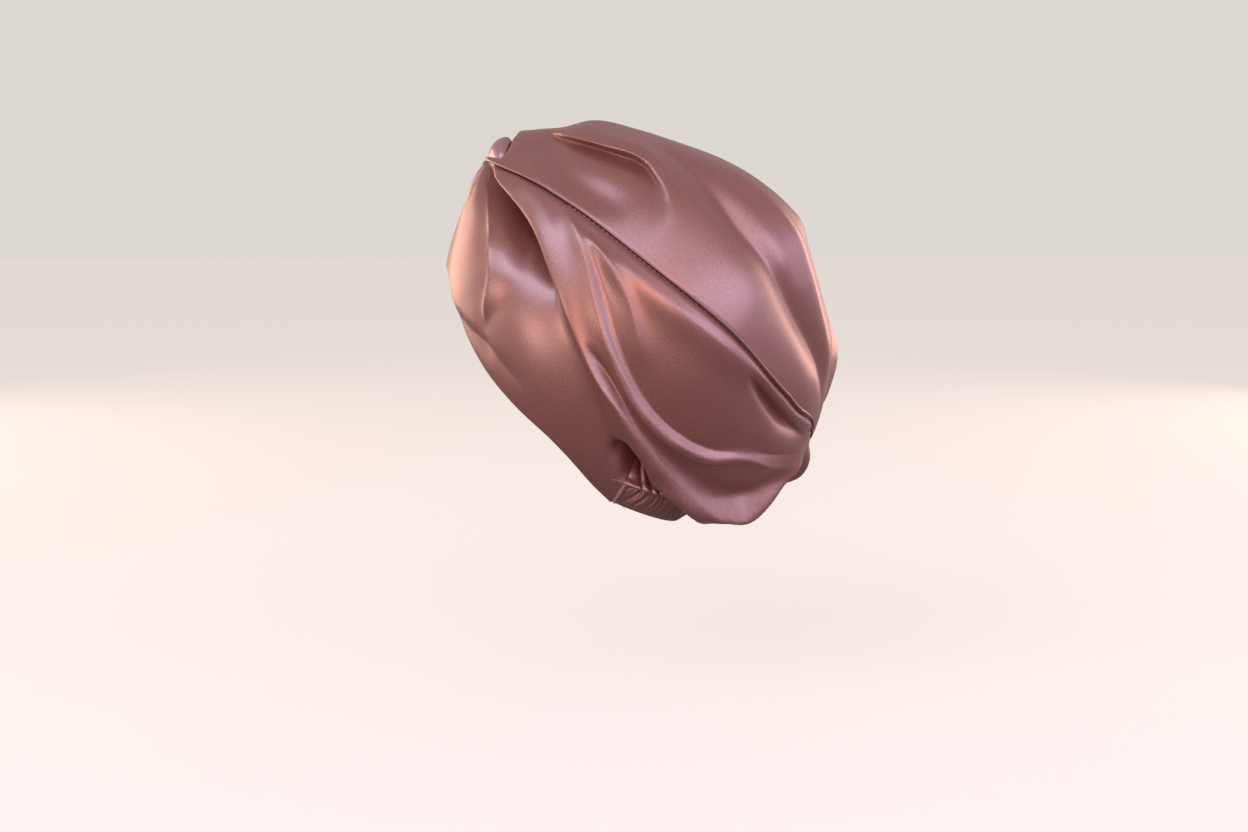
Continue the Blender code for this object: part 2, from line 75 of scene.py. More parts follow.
# A fold's row is a place on its line: how far it lifts the cloth there (below zero it is a
# valley), and how far its flanks spread toward the crown and toward the lower edge.
FOLDS = (
    # name, sides, sharpness, rows of along, around, lift, upper spread, lower spread
    ("loop_seat", (1, -1), 4.0, (
        (0, 60, -1.5, 9, 3), (5, 62, -3, 9, 3.5), (9, 68, -3.4, 9, 4), (12, 76, -2, 8, 3.5),
        (15, 82, 0, 6, 3))),
    ("front_ridge", (1, -1), 1.0, (
        (4, 103, 0, 3, 2), (8, 107, 4, 4, 2.5), (14, 111.5, 7, 6, 3), (20, 113.5, 8, 8, 3.5),
        (28, 114.8, 8, 10, 4.5), (35, 116.5, 7.5, 11, 5), (41, 120.5, 6, 10, 5),
        (46, 125, 4.5, 9, 5), (50, 131.5, 3, 8, 5), (55, 139, 0, 6, 5))),
    ("front_hollow", (1, -1), 1.5, (
        (24, 119, 0, 4, 8), (35, 124, -2, 4, 9), (42, 128.5, -3, 4, 9), (50, 137.5, -3, 5, 7),
        (58, 141, -1.5, 6, 6), (66, 144, 0, 6, 5))),
    ("pleat_valley", (1, -1), 1.4, (
        (3, 102, 0, 1, 4), (8, 102, -5, 1.2, 5), (14, 102, -8, 2.4, 7), (22, 102, -9, 4, 11),
        (36, 103, -9, 5, 15), (48, 105, -7, 5, 16), (58, 107.5, -5, 5, 13), (70, 112, -3.5, 4, 11),
        (84, 118, -3, 3.5, 9), (98, 127, -3, 3.5, 8), (111, 137, -2, 4, 5), (116, 140, 0, 4, 4))),
    ("pleat_slot", (1, -1), 1.8, (
        (2, 96, 0, 0.4, 3), (6, 96.5, -5, 0.6, 4), (9, 97, -8.5, 0.9, 5), (12, 97.8, -12, 1.2, 5.5),
        (15, 98.6, -15, 2, 6.5), (20, 99, -18, 3, 8), (30, 99, -22, 4.5, 10),
        (40, 100, -19, 5.5, 9), (48, 102.5, -12, 5, 7), (56, 105.5, -5, 3.5, 5),
        (66, 109, 0, 3, 4))),
    ("pleat_lip", (1, -1), 1.2, (
        (5, 89.5, 0, 4, 2), (9, 89.2, 1.6, 5, 2), (15, 89.8, 4, 7, 2), (22, 89.6, 5.4, 8, 2),
        (28, 90, 6, 8, 2.2), (35, 91.5, 6, 9, 2.3), (42, 93.3, 6, 10, 2.5),
        (56, 101.5, 4, 10, 4), (72, 111, 4, 5, 5), (86, 116.5, 4.5, 3.5, 6),
        (100, 120.5, 5.5, 3.2, 7), (114, 126.5, 6.4, 3, 7), (126, 133.3, 7.2, 3, 6.5),
        (136, 140.2, 9, 3.2, 7), (144, 145.6, 10, 3.4, 7), (151, 148.5, 10.5, 3.4, 7),
        (157, 144, 9, 4, 6.5), (166, 133, 6, 5, 6), (176, 125, 0, 5, 6))),
    ("knot_dip", (1, -1), 2.0, (
        (1, 180, 0, 6, 6), (6, 180, -2.2, 8, 8), (9, 180, -3.2, 11, 11),
        (13, 180, -2.5, 13, 13), (18, 180, 0, 12, 12))),
    ("puff_valley", (1, -1), 1.5, (
        (78, 111.5, 0, 2, 2), (86, 114, -3, 2, 2), (92, 116, -4, 2, 2), (99, 119, -4.5, 2.2, 2),
        (106, 122.4, -5, 2.8, 2), (116, 127, -6, 4, 2.2), (125, 132, -7, 7, 2.6),
        (133, 137.5, -8, 10, 2.8), (141, 141.5, -8.5, 12, 3.2), (151, 143, -7.5, 11, 3.6),
        (160, 137, -5, 7, 4), (170, 130, 0, 5, 5))),
    ("puff_ridge", (1, -1), 1.2, (
        (44, 85, 0, 3, 5), (52, 87, 2, 2.5, 7), (60, 91, 3, 2.5, 8), (72, 99.5, 3, 2.5, 6),
        (84, 107.6, 2.8, 1.8, 3.5), (94, 112.5, 2.6, 1.5, 3), (106, 117.4, 2.6, 1.4, 3),
        (120, 120.8, 2.6, 1.4, 3.4), (132, 121.4, 2.6, 1.4, 4), (144, 116.5, 2.4, 1.8, 4),
        (154, 120.5, 2, 3, 5), (164, 126, 1, 4, 5), (174, 130, 0, 5, 4))),
    ("bowl", (1, -1), 1.0, (
        (52, 87, 0, 6, 2.4), (64, 93, -2.5, 8, 2.4), (74, 99.8, -3, 11, 2.4),
        (84, 105.6, -3, 14, 2.2), (94, 110.8, -3, 16, 2), (104, 115, -3, 18, 2),
        (118, 118.7, -3, 18, 2), (132, 119.6, -3, 18, 2), (146, 114.7, -2.5, 14, 2.4),
        (160, 115, -2, 10, 4), (172, 115, 0, 8, 6))),
    ("seam_shoulder", (1, -1), 1.8, (
        (44, 86, 0, 8, 8), (56, 88, 2, 6, 9), (72, 88, 3.5, 6, 9), (90, 87, 3.5, 6, 10),
        (108, 86, 3, 6, 10), (126, 85, 2, 5, 9), (142, 84, 0, 5, 7))),
    ("pinch_crease", (1, -1), 1.4, (
        (124, 87.5, 0, 2.5, 3), (134, 88.3, -4.5, 2, 3), (144, 90, -7, 2, 4), (153, 92, -7, 2, 5),
        (161, 94, -4, 2.5, 4), (170, 95, 0, 3, 3))),
    ("face_crease", (1, -1), 1.4, (
        (42, 156, 0, 3, 3), (50, 149, -1.5, 3, 4), (60, 141.5, -1.5, 3.5, 5),
        (70, 138, -1, 4, 5), (78, 136, 0, 4, 5))),
    ("cheek_smudge", (1, -1), 2.0, (
        (34, 110, 0, 3, 3), (40, 110, -1.5, 3, 4), (46, 112, -1.5, 3, 4), (52, 115, 0, 3, 3))),
    ("inner_streak", (1, -1), 1.3, (
        (54, 87.5, 0, 2, 4), (62, 88, 2, 2, 5), (72, 90.5, 2.5, 2.5, 6), (83, 96, 2, 3, 7),
        (92, 102, 1.2, 4, 7), (100, 107, 0, 4, 6))),
    ("ear_tuck", (1, -1), 1.8, (
        (103, 131.5, 0, 3, 4), (106, 131, -7, 3, 6), (110, 131.5, -15, 3.5, 7),
        (114, 134, -21, 3.5, 8), (118, 137.5, -24, 3.5, 8), (122, 141, -19, 3.5, 6),
        (125, 143.5, -8, 3, 4), (128, 145, 0, 3, 3))),
    ("nape_lip", (1, -1), 1.8, (
        (114, 131, 0, 5, 5), (120, 136, 3, 4, 3), (130, 140.5, 4, 5, 3),
        (138, 149, 4, 6, 4), (144, 160, 3, 8, 6), (150, 168, 0, 8, 8))),
    ("flap_slot", (1, -1), 1.6, (
        (17, 18, 0, 1.2, 6), (22, 29.5, -1.8, 1.2, 8), (27, 37.3, -3, 1.2, 10),
        (32, 41.3, -3.8, 1.2, 12), (38, 43.3, -4.4, 1.2, 14), (44, 44.4, -4.8, 1.2, 15),
        (50, 45, -4.8, 1.2, 15), (56, 47.8, -4.2, 1.3, 13), (62, 53.3, -3, 1.6, 11),
        (68, 59.3, -1.5, 2, 9), (74, 66, 0, 3, 8))),
    ("flap_lip", (1, -1), 1.3, (
        (14, 6, 0, 8, 3), (20, 22.5, 1.2, 9, 1.6), (26, 33.8, 2.2, 10, 1.3),
        (32, 39.3, 3, 11, 1.2), (38, 41.4, 3.4, 11, 1.2), (44, 42.6, 3.6, 11, 1.2),
        (50, 43.4, 3.8, 10, 1.3), (56, 46.3, 3.8, 8, 1.6), (62, 51.8, 3, 7, 2.4),
        (70, 60, 1.8, 7, 5), (78, 68, 0, 6, 6))),
    ("crown_swell", (1, -1), 2.0, (
        (8, 45, 0, 8, 8), (14, 58, 2, 9, 8), (24, 72, 3, 9, 6), (34, 78, 1.5, 8, 5),
        (46, 80, 0, 8, 5))),
    ("crown_hollow", (1, -1), 2.0, (
        (12, 48, 0, 7, 7), (20, 56, -1.5, 7, 8), (36, 70, -2.5, 8, 8), (52, 72, -2.5, 9, 8),
        (64, 72, 0, 9, 8))),
    ("back_valley", (1, -1), 1.6, (
        (52, 33, 0, 7, 7), (66, 38, -3, 8, 9), (80, 44, -5.5, 8, 11), (92, 48.5, -6.5, 8, 13),
        (106, 50, -6.5, 8, 14), (120, 50.5, -6.5, 8, 14), (134, 49, -6, 8, 12),
        (148, 45, -4.5, 7, 9), (158, 42, -2.5, 6, 6), (170, 40, 0, 5, 5))),
    ("back_ridge", (1, -1), 1.8, (
        (66, 24, 0, 10, 8), (88, 28, 2, 11, 8), (106, 32, 3.2, 10, 8), (126, 33, 3.4, 10, 8),
        (146, 31, 2.5, 9, 8), (164, 28, 0, 8, 6))),
    ("right_back_ridge", (-1,), 1.4, (
        (100, 16, 0, 9, 9), (117, 21, 6, 9, 8), (130, 22, 4, 8, 8), (144, 22, 8, 8, 7),
        (156, 24, 11, 7, 8), (167, 32, 7, 6, 6), (174, 40, 0, 5, 5))),
    ("right_pinch_puff", (-1,), 1.8, (
        (154, 150, 0, 10, 10), (163, 150, 8, 9, 9), (170, 146, 12, 8, 8), (175, 144, 8, 7, 7),
        (179, 140, 0, 5, 5))),
)
# Lips that lean over the valley beside them: how far the cloth is drawn toward the lower edge.
CROWN_LEANS = (
    # name, rows of along, around, lean, spread
    ("flap", (
        (16, 10, 0, 1.3), (20, 22.5, 1.8, 1.3), (26, 33.5, 4.4, 1.3), (32, 39, 6.2, 1.3),
        (38, 41.2, 7.2, 1.3), (44, 42.4, 7.6, 1.3), (50, 43.2, 7, 1.3), (56, 46.1, 5.6, 1.4),
        (62, 51.6, 3.6, 1.7), (67, 56.8, 1.8, 2), (72, 62, 0, 2.4))),
)
SIDE_LEANS = (
    # name, rows of along, around, lean, spread
    ("pleat", (
        (3, 90, 0, 1.2), (6, 89.5, 0.7, 1.2), (9, 89.2, 1.4, 1.3), (12, 89.4, 2.3, 1.5),
        (15, 89.8, 3.3, 1.7), (18, 89.8, 4.2, 1.9), (22, 89.6, 5.2, 2), (28, 90, 6, 2),
        (35, 91.5, 6, 2), (42, 93.3, 6, 2), (49, 97.1, 5, 2), (58, 102.7, 3.5, 2),
        (66, 107.4, 1.5, 2.2), (74, 112, 0, 2.4))),
    ("puff", (
        (86, 109, 0, 1.6), (92, 112.4, 1.4, 1.5), (100, 115.6, 2, 1.5),
        (107, 118.6, 2.3, 1.5), (116, 120.8, 2.4, 1.5), (124, 122.6, 2.4, 1.5),
        (131, 122.6, 2.4, 1.5), (137, 120.5, 2, 1.5), (143, 117, 1.2, 1.6),
        (152, 119, 0, 2))),
    ("front", (
        (4, 103, 0, 1.5), (10, 108.5, 1.4, 1.8), (18, 112.5, 2.2, 2.1), (27, 114.5, 2.6, 2.4),
        (38, 117.3, 2.7, 2.5), (46, 125, 2.3, 2.5), (52, 134, 1, 2.5), (56, 139, 0, 2))),
    ("tuck", (
        (105, 127.5, 0, 2), (110, 127.5, 2.5, 2.2), (116, 130.5, 3.6, 2.2), (120, 135, 3.2, 2.2),
        (124, 140, 0, 2))),
)
CROWN_START = 9.5        # the crown comes out from behind the loop here
PANEL_END = 179.9        # and all panels end here, at the pinch
START_TUCK, START_EASE = 3.5, 2.6    # the crown's first degrees dive in beside the loop
START_SLANT, SLANT_EASE = 3.2, 12.0  # but its corners reach on toward the knot
DIVE_POWER, CORNER_POWER = 8, 10     # of the share, for the dive and for the corners
LEAN_EASE = 2.5          # a side panel leans only past this distance from the seam
LEAST_GIRTH = 4.0        # stands in for a smaller one where a distance becomes an angle
CROWN_ROWS = 210
CROWN_COLUMNS = (
    # number, share of the half breadth: closest at the flap
    (0, 0.0), (23, 0.38), (79, 0.66), (108, 1.0),
)
MILLIMETRE = 0.001       # in metres
WALL = 0.8               # thickness of the cloth
HEM_ROLL = 0.9           # radius of the crown's turned edge
HEM_STEPS = 7
THREAD = 0.22            # millimetres between the satin's floats
GRAIN = 0.9              # and across the grain that shows from a step away
FLOAT_NOISE = {"Scale": 1000 / THREAD / 4, "Detail": 3, "Roughness": 0.65}
GRAIN_NOISE = {"Scale": 1000 / GRAIN, "Detail": 2}
SHADE_NOISE = {"Scale": 26, "Detail": 4, "Roughness": 0.6}
FLOAT_STRETCH, GRAIN_STRETCH = (0.16, 1.0, 1.0), (0.5, 1.0, 1.0)  # longer along the threads
FLOAT_DEPTH, GRAIN_DEPTH = 0.0001, 0.00015  # in metres
GRAIN_CONTRAST = {"From Min": 0.38, "From Max": 0.62}
SMOOTHER, ROUGHER = 0.06, 0.08  # how far the floats shift the roughness either way
SATIN_FINISH = {
    "Metallic": 0.35, "Specular IOR Level": 0.8, "Coat Weight": 1.0, "Coat Roughness": 0.38,
    "Coat IOR": 1.8, "Anisotropic": 0.3,
}
SATIN_BASE = (0.38, 0.140, 0.112, 1.0)
SATIN_DEEP = (0.26, 0.084, 0.066, 1.0)


def curve_through(x, stations, values, flat_ends=False):
    """Cubic curve through the stations: on each span, a blend of its end values and slopes."""
    stations = np.asarray(stations, float)
    values = np.asarray(values, float)
    slopes = np.gradient(values, stations, axis=0)
    if flat_ends:
        slopes[0] = 0
        slopes[-1] = 0
    x = np.clip(np.asarray(x, float), stations[0], stations[-1])
    i = np.clip(np.searchsorted(stations, x, side="right") - 1, 0, len(stations) - 2)
    step = stations[i + 1] - stations[i]
    t = (x - stations[i]) / step
    if values.ndim > 1:
        t = t[..., None]
        step = step[..., None]
    start = (1 + 2 * t) * (1 - t) ** 2 * values[i] + t * (1 - t) ** 2 * step * slopes[i]
    end = t * t * (3 - 2 * t) * values[i + 1] + t * t * (t - 1) * step * slopes[i + 1]
    return start + end


def form_radius(along, around):
    """Distance of the cloth from the centre: the form's table, smooth both ways."""
    table = np.array(FORM, float)
    sections = curve_through(along, table[:, 0], table[:, 1:])
    shares = curve_through(np.abs(around), FORM_ROUND, np.eye(len(FORM_ROUND)), flat_ends=True)
    return (sections * shares).sum(-1)


def from_line(along, around, side, table, girth, reach):
    """Distance from a fold's line, square to it: the turn away times the girth, times the cosine
    of the line's slant."""
    line, ahead, behind = (
        curve_through(along + step, table[:, 0], table[:, 1]) for step in (0, 0.5, -0.5))
    slant = np.cos(np.arctan((ahead - behind) * girth / np.maximum(reach, 1)))
    away = (side * around - line + 180) % 360 - 180
    return np.radians(away) * girth * slant


def fold_lift(along, around):
    """Sum over the folds of lift times e to minus (distance / spread) raised to the sharpness."""
    reach = form_radius(along, around)
    girth = reach * np.sin(np.radians(along))
    lifted = np.zeros_like(reach)
    for _, sides, sharpness, rows in FOLDS:
        table = np.array(rows, float)
        lift = curve_through(along, table[:, 0], table[:, 2], flat_ends=True)
        lift = np.where((along > table[0, 0]) & (along < table[-1, 0]), lift, 0)
        above, below = (curve_through(along, table[:, 0], table[:, k]) for k in (3, 4))
        for side in sides:
            distance = from_line(along, around, side, table, girth, reach)
            spread = np.where(distance < 0, above, below)
            lifted += lift * np.exp(-np.abs(distance / spread) ** sharpness)
    return lifted


def lip_lean(along, around, leans):
    """Turn in degrees, toward the lower edge, of a lip over its valley: a bell round its line."""
    reach = form_radius(along, around)
    girth = np.maximum(reach * np.sin(np.radians(along)), 1)
    turned = np.zeros_like(reach)
    for _, rows in leans:
        table = np.array(rows, float)
        lean = curve_through(along, table[:, 0], table[:, 2], flat_ends=True)
        spread = curve_through(along, table[:, 0], table[:, 3])
        for side in (1, -1):
            distance = from_line(along, around, side, table, girth, reach)
            turned += side * np.degrees(lean / girth) * np.exp(-(distance / spread) ** 2)
    return turned


def slack(along, around):
    """Small waves of slack cloth: four sine waves that run mostly from knot to pinch."""
    a, r = np.radians(along), np.radians(around)
    waves = (
        0.16 * np.sin(11 * r + 3.1 * np.sin(2.3 * a) + 0.7)
        + 0.12 * np.sin(17 * r - 2.2 * a + 1.9 * np.sin(3.1 * a + 1.0))
        + 0.10 * np.sin(5.3 * a + 7 * r + 2.0)
        + 0.07 * np.sin(9.7 * a - 4 * r + 0.4))
    return waves * np.sin(a) ** 0.5


def on_form(along, around, outward):
    """Point of the form: the centre, plus its radius and the lift, times the direction there."""
    tilt = math.radians(LINE_TILT)
    to_knot = np.array((0.0, -math.cos(tilt), math.sin(tilt)))
    to_crown = np.array((0.0, math.sin(tilt), math.cos(tilt)))
    to_left = np.array((1.0, 0.0, 0.0))
    a = np.radians(along)[..., None]
    b = np.radians(around)[..., None]
    direction = np.cos(a) * to_knot + np.sin(a) * (np.cos(b) * to_crown + np.sin(b) * to_left)
    return np.array(CENTRE) + (form_radius(along, around) + outward)[..., None] * direction


def seam_line(along):
    """Around angle of the seam between the crown and a side panel."""
    table = np.array(SEAM, float)
    return curve_through(along, table[:, 0], table[:, 1])


def crown_cloth(rows, across):
    """Outer face of the crown: its share of the seam's turn gives the around angle. Past the
    seam, at shares over 1, the cloth turns under round a small roll. Its first rows dive in
    beside the loop and slant toward the knot at the corners."""
    row, share = np.meshgrid(rows, across, indexing="ij")
    flat = np.clip(share, -1, 1)
    slanted, dived = (
        np.clip(1 - (row - CROWN_START) / ease, 0, 1) ** 2 for ease in (SLANT_EASE, START_EASE))
    along = row - START_SLANT * flat ** CORNER_POWER * slanted
    around = flat * seam_line(along)
    turn = (np.abs(share) - np.abs(flat)) * math.pi
    girth = np.maximum(form_radius(along, around) * np.sin(np.radians(along)), LEAST_GIRTH)
    rolled = np.degrees(HEM_ROLL * np.sin(turn) / girth) * np.sign(share)
    sunk = HEM_ROLL * (1 - np.cos(turn))
    lift = fold_lift(along, around) + slack(along, around)
    tucked = START_TUCK * dived * (1 - flat ** DIVE_POWER)
    lean = lip_lean(along, around, CROWN_LEANS)
    return on_form(along, around + lean + rolled, lift - sunk - tucked)


def cloth_mesh(name, points, corners, starts, thread_map, material):
    """Mesh from points, its faces' corners and their starts, and each corner's place along and
    across the threads, all in millimetres. The places become a UV map in metres."""
    mesh = bpy.data.meshes.new(name)
    mesh.vertices.add(points.size // 3)
    mesh.vertices.foreach_set("co", (points * MILLIMETRE).astype(np.float32).ravel())
    mesh.loops.add(len(corners))
    mesh.loops.foreach_set("vertex_index", corners.astype(np.int32))
    mesh.polygons.add(len(starts))
    mesh.polygons.foreach_set("loop_start", starts.astype(np.int32))
    mesh.update(calc_edges=True)
    layer = mesh.uv_layers.new(name="threads")
    layer.data.foreach_set("uv", (thread_map * MILLIMETRE).astype(np.float32).ravel())
    mesh.shade_smooth()
    mesh.materials.append(material)
    piece = bpy.data.objects.new(name, mesh)
    bpy.context.scene.collection.objects.link(piece)
    return piece


def panel_mesh(name, points, material, flip=False):
    """Grid of points made a sheet of cloth, with a wall behind it. Along and across its threads
    is the mean distance from row to row and from column to column, summed."""
    rows, columns = points.shape[:2]
    i, j = np.meshgrid(np.arange(rows - 1), np.arange(columns - 1), indexing="ij")
    ends_i = np.stack((i, i, i + 1, i + 1), -1).reshape(-1, 4)
    ends_j = np.stack((j, j + 1, j + 1, j), -1).reshape(-1, 4)
    if flip:
        ends_i, ends_j = ends_i[:, ::-1], ends_j[:, ::-1]
    u = np.concatenate(([0], np.cumsum(np.linalg.norm(np.diff(points, axis=0), axis=-1).mean(1))))
    v = np.concatenate(([0], np.cumsum(np.linalg.norm(np.diff(points, axis=1), axis=-1).mean(0))))
    thread_map = np.stack((u[ends_i], v[ends_j]), -1)
    corners = (ends_i * columns + ends_j).ravel()
    piece = cloth_mesh(name, points, corners, np.arange(0, corners.size, 4), thread_map, material)
    thickness = piece.modifiers.new("wall", "SOLIDIFY")
    thickness.thickness = WALL * MILLIMETRE
    thickness.offset = -1.0
    thickness.use_even_offset = False
    return piece


def shader_node(nodes, kind, inputs):
    """New shader node of a kind, with its named inputs set."""
    node = nodes.new("ShaderNode" + kind)
    for name, value in inputs.items():
        node.inputs[name].default_value = value
    return node


def link_nodes(links, wires):
    """Links between nodes, from rows of source, output, target and input."""
    for source, output, target, socket in wires:
        links.new(source.outputs[output], target.inputs[socket])


def satin(name, light, deep, roughness, float_strength, grain_strength):
    """Woven satin: long floats along the threads and a coarser grain in the bump, and the grain
    and faint shade changes in the colour."""
    material = bpy.data.materials.new(name)
    material.use_nodes = True
    nodes = material.node_tree.nodes
    shader = nodes["Principled BSDF"]
    for socket, value in SATIN_FINISH.items():
        shader.inputs[socket].default_value = value
    threads = shader_node(nodes, "UVMap", {})
    threads.uv_map = "threads"
    place = shader_node(nodes, "TexCoord", {})
    stretched = shader_node(nodes, "Mapping", {"Scale": FLOAT_STRETCH})
    floats = shader_node(nodes, "TexNoise", FLOAT_NOISE)
    weave = shader_node(nodes, "Mapping", {"Scale": GRAIN_STRETCH})
    grain = shader_node(nodes, "TexNoise", GRAIN_NOISE)
    shade = shader_node(nodes, "TexNoise", SHADE_NOISE)
    contrast = shader_node(nodes, "MapRange", GRAIN_CONTRAST)
    sheen = shader_node(
        nodes, "MapRange", {"To Min": roughness - SMOOTHER, "To Max": roughness + ROUGHER})
    grained = shader_node(nodes, "Bump", {"Strength": grain_strength, "Distance": GRAIN_DEPTH})
    bump = shader_node(nodes, "Bump", {"Strength": float_strength, "Distance": FLOAT_DEPTH})
    mixed, speckled = (shader_node(nodes, "Mix", {}) for _ in range(2))
    for mix in (mixed, speckled):
        mix.data_type = "RGBA"
        mix.inputs["A"].default_value = deep
    mixed.inputs["B"].default_value = light
    link_nodes(material.node_tree.links, (
        (threads, "UV", stretched, "Vector"), (stretched, "Vector", floats, "Vector"),
        (threads, "UV", weave, "Vector"), (weave, "Vector", grain, "Vector"),
        (place, "Object", shade, "Vector"), (shade, "Fac", mixed, "Factor"),
        (grain, "Fac", contrast, "Value"), (contrast, "Result", speckled, "Factor"),
        (mixed, "Result", speckled, "B"), (speckled, "Result", shader, "Base Color"),
        (floats, "Fac", sheen, "Value"), (sheen, "Result", shader, "Roughness"),
        (grain, "Fac", grained, "Height"), (floats, "Fac", bump, "Height"),
        (grained, "Normal", bump, "Normal"), (bump, "Normal", shader, "Normal"),
        (bump, "Normal", shader, "Coat Normal")))
    return material


rose_satin = satin(
    "dusty_rose_satin", SATIN_BASE, SATIN_DEEP, roughness=0.42, float_strength=0.3,
    grain_strength=0.45)
rows = np.linspace(CROWN_START, PANEL_END, CROWN_ROWS)
numbers, shares = np.array(CROWN_COLUMNS, float).T
half = np.interp(np.arange(numbers[-1] + 1), numbers, shares)
half = np.concatenate((half, 1 + np.linspace(0, 1, HEM_STEPS + 1)[1:]))
across = np.concatenate((-half[:0:-1], half))
crown = panel_mesh("crown_satin", crown_cloth(rows, across), rose_satin)
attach(crown, "root")
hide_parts("crown_panel")

# Side panels. Each is one piece of the same satin, pleated into the knot, swept back under the
# ear in long folds and gathered into the pinch. Its lower edge is free round the face and meets
# the casing behind the ear.
FACE_EDGE = (
    # along, around
    (31, 180), (31.4, 172), (32.6, 165), (35.5, 158.5), (42, 154), (54, 149.5), (65, 146.5),
    (78, 143.5), (91, 142), (100, 143.5), (108, 147), (112.6, 149.5),
)
NAPE_EDGE = (
    # along, around
    (112.6, 149.5), (114.2, 143.5), (118, 141.5), (124, 142), (131, 145.5), (137, 153),
    (141, 162), (144.4, 180),
)
EDGE_FLOW = (
    # along, around: the line that the threads follow beside that edge
    (0, 180), (20, 180), (31, 174), (36, 165), (45, 157), (60, 150), (78, 145.5), (91, 143.5),
    (104, 144), (113, 145.5), (124, 146), (133, 152), (140, 163), (147, 175), (156, 180),
    (180, 180),
)
EDGE_HUG = 6             # power of the share with which threads turn aside to the edge
PANEL_START = 0.6        # along, where the side panels start at the knot
FRONT_CENTRE = 31.0      # where the face edge crosses the middle
EAR_SEAM = 112.6         # where it meets the casing
NAPE_CENTRE = 144.4      # and where the back seam meets the casing
SEAM_LAP = 3.0           # how far a side panel runs on under the crown
LAP_TURN = 24.0          # and the most that this may turn it, in degrees
SEAM_DEPTH = 2.7         # of a side panel under the crown's edge
SEAM_FLAT, SEAM_RISE = 0.7, 4.0      # it stays so deep for the first, then rises over the second
SEAM_POWER = 0.8         # of that rise
DEPTH_START, DEPTH_EASE = 5.0, 6.0   # along, where it starts to be deep, and over how much
SLACK_EASE = 6.0         # distance from the seam over which slack waves come in
FRONT_LAP, FRONT_LAP_EASE = 5.0, 8.0
CENTRE_LAP = 2.0         # of the right side panel under the left, down the middle
LEAST_LAP = 0.1
CASING_TOP = {
    "breadth": 63.0, "ear_back": 12.0, "depth": 45.0, "ear_drop": 185.6, "nape_drop": 204.6}
CASING_LOW = {
    "breadth": 52.5, "ear_back": 6.0, "depth": 42.0, "ear_drop": 198.1, "nape_drop": 216.6}
CASING_REACH = 90.0      # turn of the casing's ends, at the ears, from the nape
CASING_LAP = 0.06        # share of the casing's height that the panels lap over it
CASING_ROOM, CASING_FADE = 1.6, 0.2  # kept clear round it, from this share above its top
JOIN_SHARE, JOIN_ROOM = 0.07, 1.7    # of a panel drawn in to the casing, and the room there
EAR_EASE = 7.0           # degrees over which the face edge turns in to the casing's end
EAR_TURN = 2.2           # and over which the edge climbs to the casing's top
RUCHES = 31              # puckers of the casing, and of the edge sewn to it, from ear to ear
PUCKER_WANDER = (
    # size, waves, start
    (0.9, 5.1, 0.0), (0.6, 11.3, 1.0), (0.35, 23.7, 0.0),
)
PUCKER_SLANT, SLANT_TURN = 2.4, 20.0  # of the casing's puckers, and the turn where it sets in
GATHER_RISE, GATHER_SHARE = 2.0, 0.2  # of the panels' own puckers above the casing
GATHER_SLANT, GATHER_POWER, GATHER_MIDDLE = -0.6, 0.6, 0.5
SIDE_ROWS = (24, 84, 104, 34)
SIDE_COLUMNS = 190


def casing_edge(sizes, turn):
    """Edge of the nape casing: half an ellipse in plan, lower at the nape than at the ears."""
    t = np.radians(turn)
    x = sizes["breadth"] * np.sin(t)
    y = sizes["ear_back"] + sizes["depth"] * np.cos(t)
    rise = (sizes["nape_drop"] - sizes["ear_drop"]) * (1 - np.cos(t))
    return np.stack((x, y, rise - sizes["nape_drop"]), -1)


def casing_point(turn, share):
    """Point of the casing: a straight blend from its top edge (0) to its lower edge (1)."""
    share = np.asarray(share, float)[..., None]
    return casing_edge(CASING_TOP, turn) * (1 - share) + casing_edge(CASING_LOW, turn) * share


def from_neck(turn):
    """Level direction away from the neck, at a turn of the casing."""
    t = np.radians(turn)
    return np.stack((np.sin(t), np.cos(t), np.zeros_like(t)), -1)


def clear_of_casing(points):
    """The same points, spread level from the neck where they would pass inside the casing."""
    share = np.zeros(points.shape[:-1])
    for _ in range(2):
        breadth, back, depth = (
            CASING_TOP[size] * (1 - share) + CASING_LOW[size] * share
            for size in ("breadth", "ear_back", "depth"))
        turn = np.arctan2(np.abs(points[..., 0]) / breadth, (points[..., 1] - back) / depth)
        top, low = (
            edge["ear_drop"] + (edge["nape_drop"] - edge["ear_drop"]) * np.cos(turn)
            for edge in (CASING_TOP, CASING_LOW))
        height = (-points[..., 2] - top) / (low - top)
        share = np.clip(height, 0, 1)
    reach = np.hypot(points[..., 0] / breadth, (points[..., 1] - back) / depth)
    spread = np.maximum((1 + CASING_ROOM / depth) / reach, 1) - 1
    spread = 1 + spread * np.clip((height + CASING_FADE) / CASING_FADE, 0, 1)
    axis = np.stack((np.zeros_like(back), back, points[..., 2]), -1)
    return axis + (points - axis) * spread[..., None]


def lower_edge(along):
    """Around angle of a side panel's lower edge: the middle, but for the opening."""
    face, nape = np.array(FACE_EDGE, float).T, np.array(NAPE_EDGE, float).T
    edge = np.where(along < EAR_SEAM, curve_through(along, *face), np.interp(along, *nape))
    return np.where((along < FRONT_CENTRE) | (along > NAPE_CENTRE), 180.0, edge)


def pucker_phase(turn, down):
    """Phase of the casing's puckers: even from ear to ear, but it wanders by three sine waves,
    and slants forward down the casing."""
    reach = np.radians(turn + CASING_REACH)
    wander = sum(size * np.sin(waves * reach + start) for size, waves, start in PUCKER_WANDER)
    return RUCHES * reach + wander - PUCKER_SLANT * down * np.tanh(turn / SLANT_TURN)


